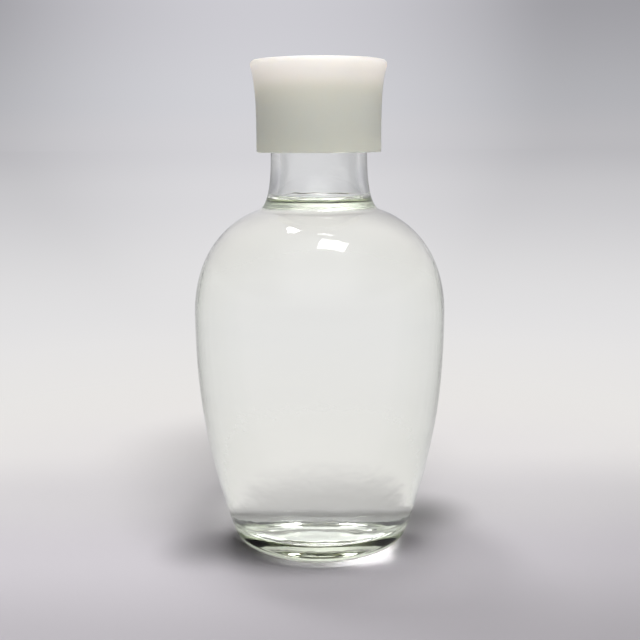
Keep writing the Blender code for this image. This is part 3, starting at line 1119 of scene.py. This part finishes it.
    def shaded(self, tree: Tree, place: Source, tone: Source) -> Source:
        """A tone with the soft painted shadow patches over it."""
        for shade in self.painted_shadows:
            offset = add_node(tree, "VectorMath", {0: place, 1: shade.place}, operation="SUBTRACT")
            size = (1 / shade.reach[0], 1 / shade.reach[1], 0.0)
            scaled = add_node(tree, "VectorMath", {0: offset, 1: size}, operation="MULTIPLY")
            away = add_node(tree, "VectorMath", {0: scaled}, operation="LENGTH")
            depth = {"Value": away.outputs["Value"], "To Min": shade.share}
            share = add_node(tree, "MapRange", depth, **SMOOTH)
            tone = add_node(tree, "VectorMath", {0: tone, "Scale": share}, operation="SCALE")
        return tone

    def material(self) -> bpy.types.Material:
        """Matt paper, which spreads the light evenly and shows no shine."""
        made, tree = new_material(self.name)
        place = add_node(tree, "NewGeometry").outputs["Position"]
        distance = add_node(tree, "VectorMath", {0: place}, operation="LENGTH").outputs["Value"]
        ring = {"Value": distance, "From Min": self.lit_radius, "From Max": self.plain_radius}
        fade = add_node(tree, "MapRange", ring, **SMOOTH)
        # Distance d from the middle maps to d / (d + 1 m), so the stops reach far
        over = add_node(tree, "Math", {0: distance, 1: 1.0}, operation="ADD")
        reach = add_node(tree, "Math", {0: distance, 1: over}, operation="DIVIDE")
        far_tone = add_node(tree, "ValToRGB", {"Fac": reach}, stops=self.far_stops)
        ends = {0: fade, 6: self.near_tone(tree, place), 7: far_tone}
        even = add_node(tree, "Mix", ends, data_type="RGBA").outputs[2]
        tone = self.shaded(tree, place, even)
        paper = add_node(tree, "BsdfDiffuse", {"Color": tone, "Roughness": self.roughness})
        low, top = self.far_high_reach
        climb = {"Value": reach, "From Min": low, "From Max": top, "To Max": self.horizon_high}
        high = add_node(tree, "MapRange", climb)
        strength = self.turn_share(tree, place, high, self.front_share)
        plain = add_node(tree, "Emission", {"Color": tone, "Strength": strength})
        factor = add_node(tree, "Math", {0: fade, 1: self.seen_share(tree)}, operation="MULTIPLY")
        mixed = add_node(tree, "MixShader", {0: factor, 1: paper, 2: plain})
        add_node(tree, "OutputMaterial", {"Surface": mixed})
        return made

    def build_floor(self) -> None:
        """Lays the paper a hair under the foot."""
        bpy.ops.mesh.primitive_circle_add(vertices=self.segments, radius=self.radius, fill_type="NGON")
        floor = bpy.context.object
        floor.name = "paper_floor"
        floor.location.z = -self.gap
        floor.data.materials.append(self.material())

    def build_air(self) -> None:
        """The air around, as the eye sees the backdrop. It lights nothing: the lamps do that."""
        world = bpy.data.worlds.new("studio")
        world.use_nodes = True
        bpy.context.scene.world = world
        tree = world.node_tree
        tree.nodes.clear()
        way = add_node(tree, "TexCoord").outputs["Generated"]
        split = add_node(tree, "SeparateXYZ", {"Vector": way})
        rise = split.outputs["Z"]
        tone = add_node(tree, "ValToRGB", {"Fac": rise}, stops=self.air_stops)
        climb = {"Value": rise, "From Max": self.air_high_reach, "To Min": self.horizon_high}
        high = add_node(tree, "MapRange", climb)
        # High up, the sides of the studio are darker than what stands before and behind the bottle
        sideways = add_node(tree, "Math", {0: split.outputs["X"]}, operation="ABSOLUTE")
        low, top = self.air_dim_reach
        reach = {"Value": sideways, "From Min": low, "From Max": top}
        reach |= {"To Min": 1.0, "To Max": self.air_dim_share}
        side = add_node(tree, "MapRange", reach, **SMOOTH)
        low, top = self.air_dim_rise
        raised = add_node(tree, "MapRange", {"Value": rise, "From Min": low, "From Max": top}, **SMOOTH)
        dim = add_node(tree, "Mix", {0: raised, 2: 1.0, 3: side}, data_type="FLOAT")
        ends = {"To Min": self.front_share, "To Max": self.front_air_share}
        front = add_node(tree, "MapRange", {"Value": rise, "From Max": top} | ends, **SMOOTH)
        turn = self.turn_share(tree, way, high, front)
        strength = add_node(tree, "Math", {0: turn, 1: dim}, operation="MULTIPLY")
        seen = add_node(tree, "Math", {0: strength, 1: self.seen_share(tree)}, operation="MULTIPLY")
        air = add_node(tree, "Background", {"Color": tone, "Strength": seen})
        add_node(tree, "OutputWorld", {"Surface": air})


@dataclass(frozen=True)
class Studio:
    """A pale paper sweep under soft overhead lamps, with three narrow lamps on the cap.

    The overhead lamps alone leave the cap's upright side too dark.
    """

    camera: PhotoCamera = PhotoCamera()
    sweep: PaperSweep = PaperSweep()
    lamps: tuple[Lamp, ...] = (
        Lamp("main_soft_box", (0.215, -0.275, 1.38), (0.450, 0.315), 5.58, math.radians(-10)),
        Lamp("over_lamp", (-0.020, -0.215, 1.38), (0.450, 0.450), 3.53, is_mirrored=False),
        Lamp("rear_lamp", (-0.300, 0.354, 1.38), (0.225, 0.225), 4.46),
        Lamp("rear_fill", (0.020, 0.300, 1.38), (0.400, 0.400), 2.60, is_mirrored=False),
        Lamp("front_lamp", (0.420, -0.420, 1.38), (0.750, 0.750), 2.88, is_mirrored=False),
        Lamp("left_lamp", (-0.355, -0.355, 1.38), (0.750, 0.750), 3.26, is_mirrored=False),
        Lamp("hair_lamp", (0.075, 0.150, 1.38), (0.210, 0.165), 1.21),
    )
    snoots: tuple[Snoot, ...] = (
        Snoot("cap_key", (0.300, -0.570, 0.260), 28.0),
        Snoot("cap_left", (-0.560, -0.320, 0.280), 15.0, aim=(0.0, 0.0, 0.200)),
        Snoot("cap_rim", (-0.100, 0.640, 0.260), 18.0),
    )
    glass_bounces: int = 32
    mirror_bounces: int = 12
    clear_bounces: int = 24
    diffuse_bounces: int = 6
    brightest_bounce: float = 40.0

    def build(self) -> None:
        """Builds the whole studio and sets how light is traced."""
        self.camera.build()
        self.sweep.build_floor()
        self.sweep.build_air()
        for lamp in (*self.lamps, *self.snoots):
            lamp.build()
        bpy.context.scene.view_settings.view_transform = "Standard"
        tracing = bpy.context.scene.cycles
        tracing.max_bounces = tracing.transmission_bounces = self.glass_bounces
        tracing.glossy_bounces = self.mirror_bounces
        tracing.transparent_max_bounces = self.clear_bounces
        tracing.diffuse_bounces = self.diffuse_bounces
        # The lamps' light is followed sharply through the glass, which lights the paper round the foot
        tracing.blur_glossy = 0.0
        tracing.sample_clamp_indirect = self.brightest_bounce


def main() -> None:
    """Builds the studio and every piece, and reports each one."""
    logging.basicConfig(level=logging.INFO, format="%(name)s: %(message)s")
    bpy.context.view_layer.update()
    Studio().build()
    log.info("studio ready")
    filling = Filling()
    bottle = GlassBottle()
    glass = bottle.build(filling.contact_height)
    bottle.dress(glass)
    liquid = filling.build(bottle)
    filling.dress(liquid)
    cap = OuterCap()
    shell = cap.build()
    cap.dress(shell)
    for piece in (glass, liquid, shell):
        log.info("%s: %d faces", piece.name, len(piece.data.polygons))
    CapInsides().dress()


if __name__ == "__main__":
    main()
